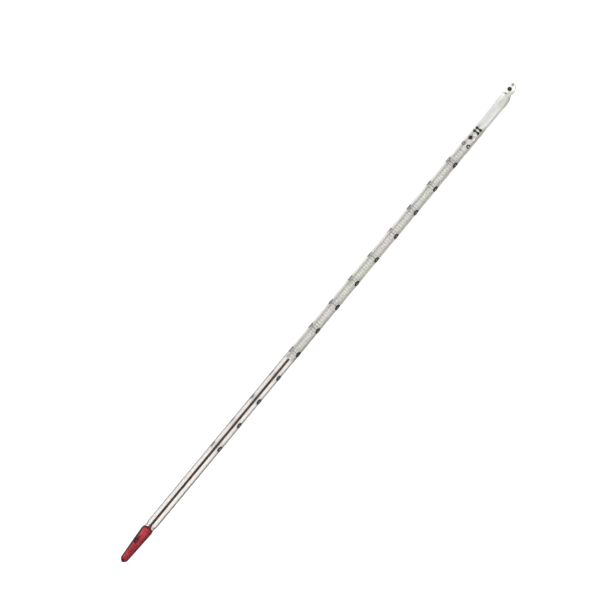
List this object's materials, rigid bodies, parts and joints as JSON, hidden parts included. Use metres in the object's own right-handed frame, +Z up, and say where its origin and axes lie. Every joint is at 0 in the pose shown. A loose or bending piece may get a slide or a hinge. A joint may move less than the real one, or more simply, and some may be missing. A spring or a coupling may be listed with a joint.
{
  "type": "laboratory thermometer",
  "caption": "Solid-stem glass spirit thermometer with a tapered red bulb, a white-backed black scale, a thread that rises and falls, and a pierced eye at the top.",
  "frame": {"origin": "on the surface that the thermometer lies on, under the middle of its length and width", "axes": "+X along the stem from the bulb to the eye; +Z up, out of the face that carries the scale; +Y to the left when the bulb hangs down and the scale is read"},
  "size_m": [0.3, 0.0074, 0.0059],
  "materials": {
    "clear_glass": "clear, fire polished",
    "enamel": "opaque white, fused into the glass",
    "red_spirit": "dyed liquid",
    "ink": "fired black ink"
  },
  "bodies": {
    "thermometer": {"bulb_glass": "clear_glass", "glass_stem": "clear_glass", "hanging_eye": "clear_glass", "enamel_strip": "enamel", "spirit_charge": "red_spirit", "spirit_thread": "red_spirit", "line_minus_20": "ink", "line_minus_10": "ink", "line_0": "ink", "line_10": "ink", "line_20": "ink", "line_30": "ink", "line_40": "ink", "line_50": "ink", "line_60": "ink", "line_70": "ink", "line_80": "ink", "line_90": "ink", "line_100": "ink", "line_105_scale_end": "ink", "label_minus_20_sign": "ink", "label_minus_10_sign": "ink", "label_minus_20_digit_1": "ink", "label_minus_20_digit_2": "ink", "label_minus_10_digit_1": "ink", "label_minus_10_digit_2": "ink", "label_0_digit_1": "ink", "label_0_digit_2": "ink", "label_10_digit_1": "ink", "label_10_digit_2": "ink", "label_20_digit_1": "ink", "label_20_digit_2": "ink", "label_30_digit_1": "ink", "label_30_digit_2": "ink", "label_40_digit_1": "ink", "label_40_digit_2": "ink", "label_50_digit_1": "ink", "label_50_digit_2": "ink", "label_60_digit_1": "ink", "label_60_digit_2": "ink", "label_70_digit_1": "ink", "label_70_digit_2": "ink", "label_80_digit_1": "ink", "label_80_digit_2": "ink", "label_90_digit_1": "ink", "label_90_digit_2": "ink", "label_100_digit_1": "ink", "label_100_digit_2": "ink", "label_100_digit_3": "ink", "unit_degree_sign": "ink", "unit_letter_c": "ink", "index_dot": "ink", "index_bar_lower": "ink", "index_bar_upper": "ink"},
    "column": {"column_head": "red_spirit"}
  },
  "joints": [
    {"name": "spirit_rise", "type": "slide", "parent": "thermometer", "child": "column", "axis": [1, 0, 0], "range_m": [-0.0551, 0.1311], "deforming": ["spirit_thread"]}
  ]
}
